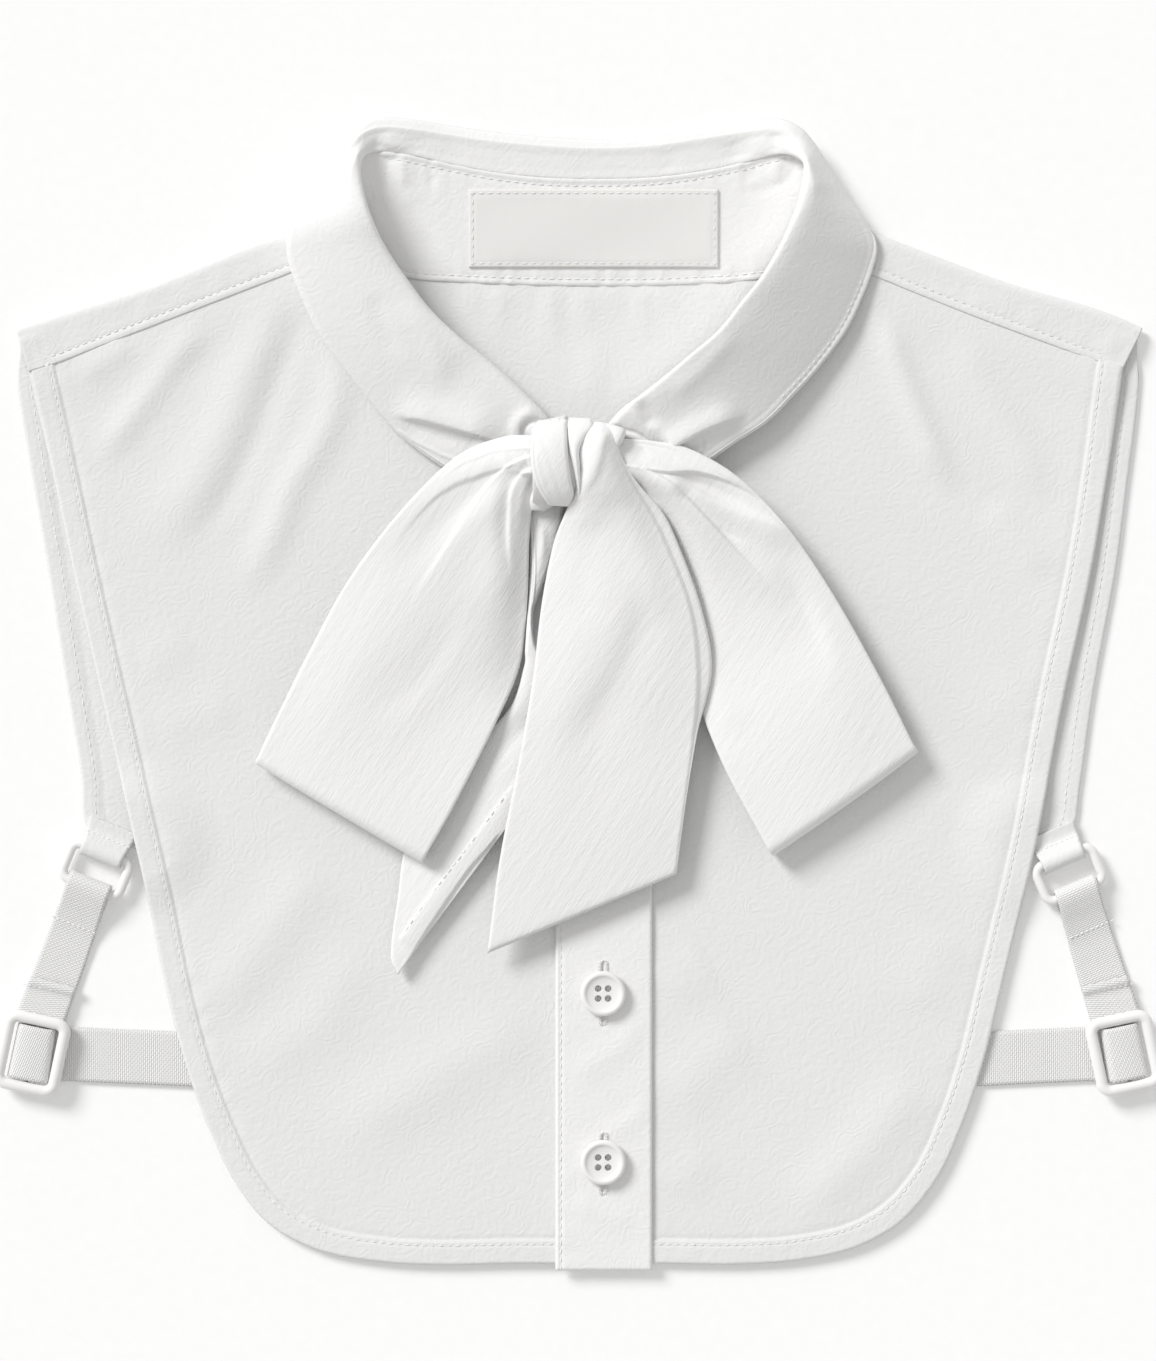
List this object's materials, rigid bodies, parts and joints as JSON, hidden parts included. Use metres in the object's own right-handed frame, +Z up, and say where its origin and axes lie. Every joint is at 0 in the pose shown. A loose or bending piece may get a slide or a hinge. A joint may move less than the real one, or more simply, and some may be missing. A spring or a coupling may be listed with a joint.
{
  "type": "detachable shirt collar",
  "caption": "White cotton half-shirt worn under a sweater: turned-down collar tied in a soft bow, buttoned front placket, short back and elastic side straps with rings and sliders",
  "frame": {"origin": "middle of the bounding box's bottom face, on the surface that the garment lies on", "axes": "+Z up from that surface, +Y from the hem towards the neck, +X towards the right of the picture"},
  "size_m": [0.3486, 0.3432, 0.0234],
  "materials": {
    "cotton": "white cotton shirting, fine twill, soft pressed look",
    "label_cloth": "woven blank label, slightly warmer and greyer than the shirting",
    "elastic": "woven flat elastic, ribbed across",
    "white_plastic": "smooth white plastic, satin"
  },
  "bodies": {
    "root": {"back_panel": "cotton", "front_left": "cotton", "front_right": "cotton", "placket": "cotton", "collar_stand": "cotton", "collar_fall": "cotton", "label": "label_cloth", "loop_left": "cotton", "loop_right": "cotton", "tail_front": "cotton", "tail_back": "cotton", "knot": "cotton", "button_upper": "white_plastic", "button_lower": "white_plastic", "tab_left": "cotton", "tab_right": "cotton", "ring_left": "white_plastic", "ring_right": "white_plastic", "strap_upper_left": "elastic", "strap_upper_right": "elastic", "slider_left": "white_plastic", "slider_right": "white_plastic", "strap_lower_left": "elastic", "strap_lower_right": "elastic"}
  },
  "joints": []
}
